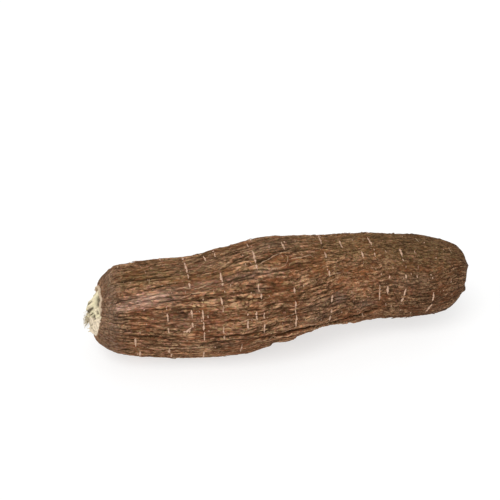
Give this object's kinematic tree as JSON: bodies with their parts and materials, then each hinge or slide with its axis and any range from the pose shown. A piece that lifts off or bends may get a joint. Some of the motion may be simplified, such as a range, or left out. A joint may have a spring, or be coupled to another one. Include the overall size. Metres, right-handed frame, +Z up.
{
  "type": "cassava root",
  "caption": "Whole raw cassava root lying on its belly: bowed spindle with ridged bark, pale cross scars, a blunt tip and a neck broken off to pale wood.",
  "frame": {"origin": "middle of the footprint, on the surface that the root lies on", "axes": "+X along the root, from the broken neck to the blunt tip; +Z up; the side that the picture shows faces -Y"},
  "size_m": [0.2762, 0.081, 0.0786],
  "materials": {
    "bark": "rough, dry, ridged bark",
    "broken_wood": "dry, pale, torn fibres"
  },
  "bodies": {
    "root": {"cassava_root": "bark"}
  },
  "joints": []
}
